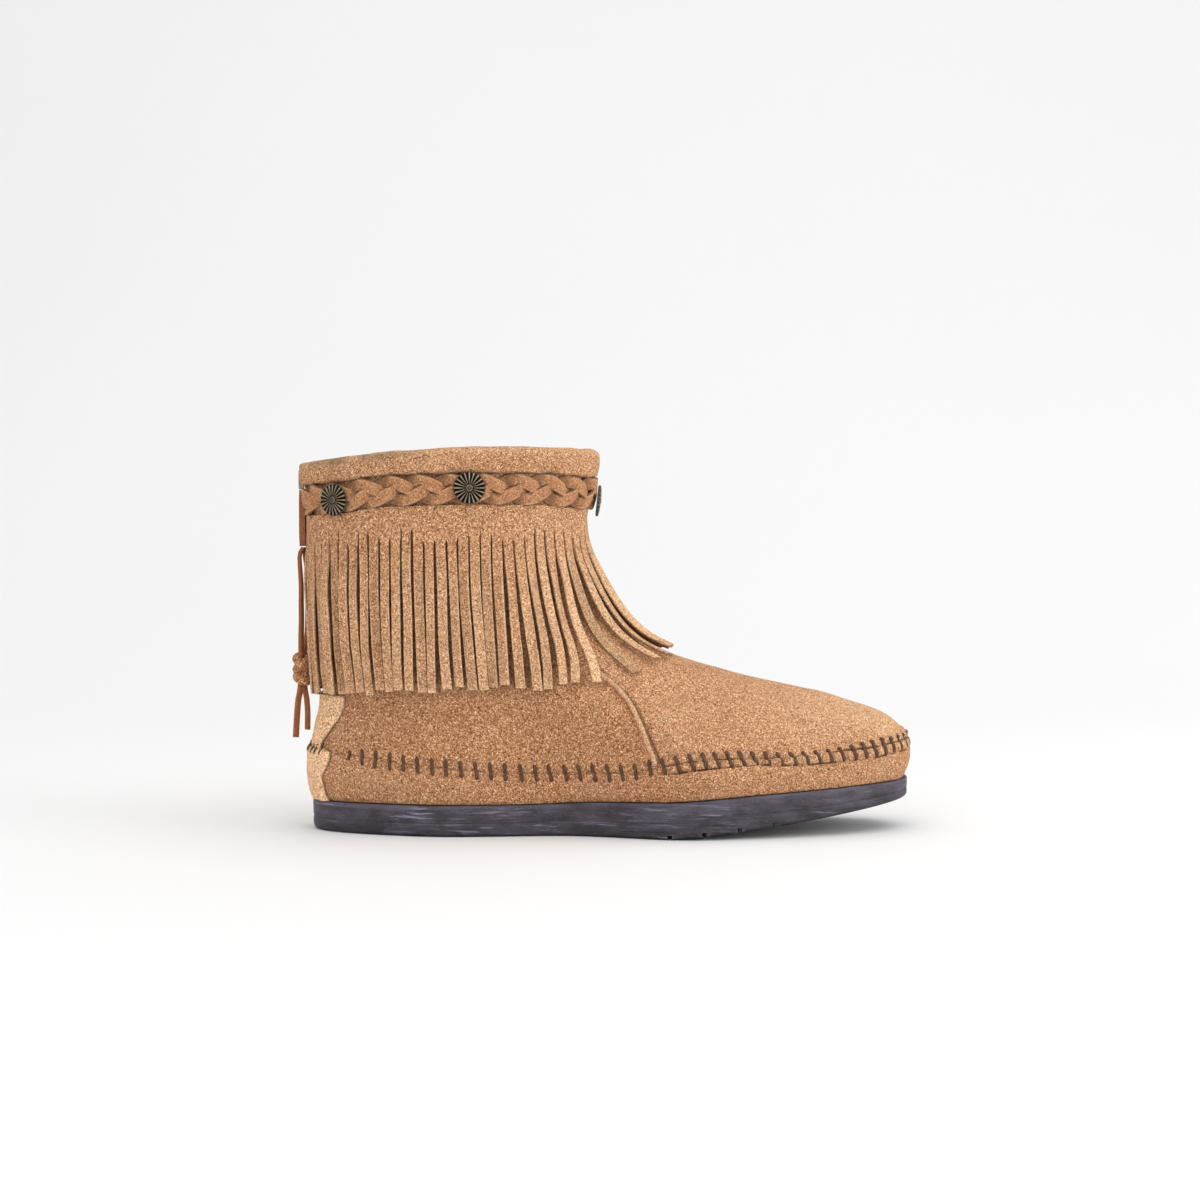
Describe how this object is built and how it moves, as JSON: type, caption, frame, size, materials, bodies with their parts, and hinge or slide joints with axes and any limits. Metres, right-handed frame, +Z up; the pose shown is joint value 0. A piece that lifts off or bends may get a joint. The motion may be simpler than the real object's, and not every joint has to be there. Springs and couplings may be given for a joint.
{
  "type": "moccasin boot",
  "caption": "Right suede moccasin ankle boot with a fringed shaft, braided band with round studs, whip-stitched moc seam, thin rubber sole and a rear zip.",
  "frame": {"origin": "on the ground, under the middle of the heel, on a flat spot of the sole", "axes": "+X to the toe, +Y to the inner side of the foot, +Z up"},
  "size_m": [0.2648, 0.0927, 0.1628],
  "materials": {
    "suede": "napped tan suede",
    "pale_suede": "napped pale suede",
    "lace": "brown suede lace",
    "sole_rubber": "dull scuffed dark rubber",
    "lining": "plain lining",
    "zip_tape": "woven brown tape",
    "brass": "aged brass"
  },
  "bodies": {
    "root": {"outsole": "sole_rubber", "insole": "lining", "upper": "suede", "backstay": "pale_suede", "vamp_welt_lateral": "pale_suede", "vamp_welt_medial": "pale_suede", "collar_band": "suede", "braid": "suede", "concho_rear_lateral": "brass", "concho_rear_medial": "brass", "concho_middle_lateral": "brass", "concho_middle_medial": "brass", "concho_front": "brass", "fringe": "suede", "zip_tape": "zip_tape", "zip_teeth": "brass", "zip_slider": "brass", "zip_pull": "lace", "pull_lace_1": "lace", "pull_lace_2": "lace", "pull_end_1": "lace", "pull_end_2": "lace", "pull_knot": "lace"}
  },
  "joints": []
}
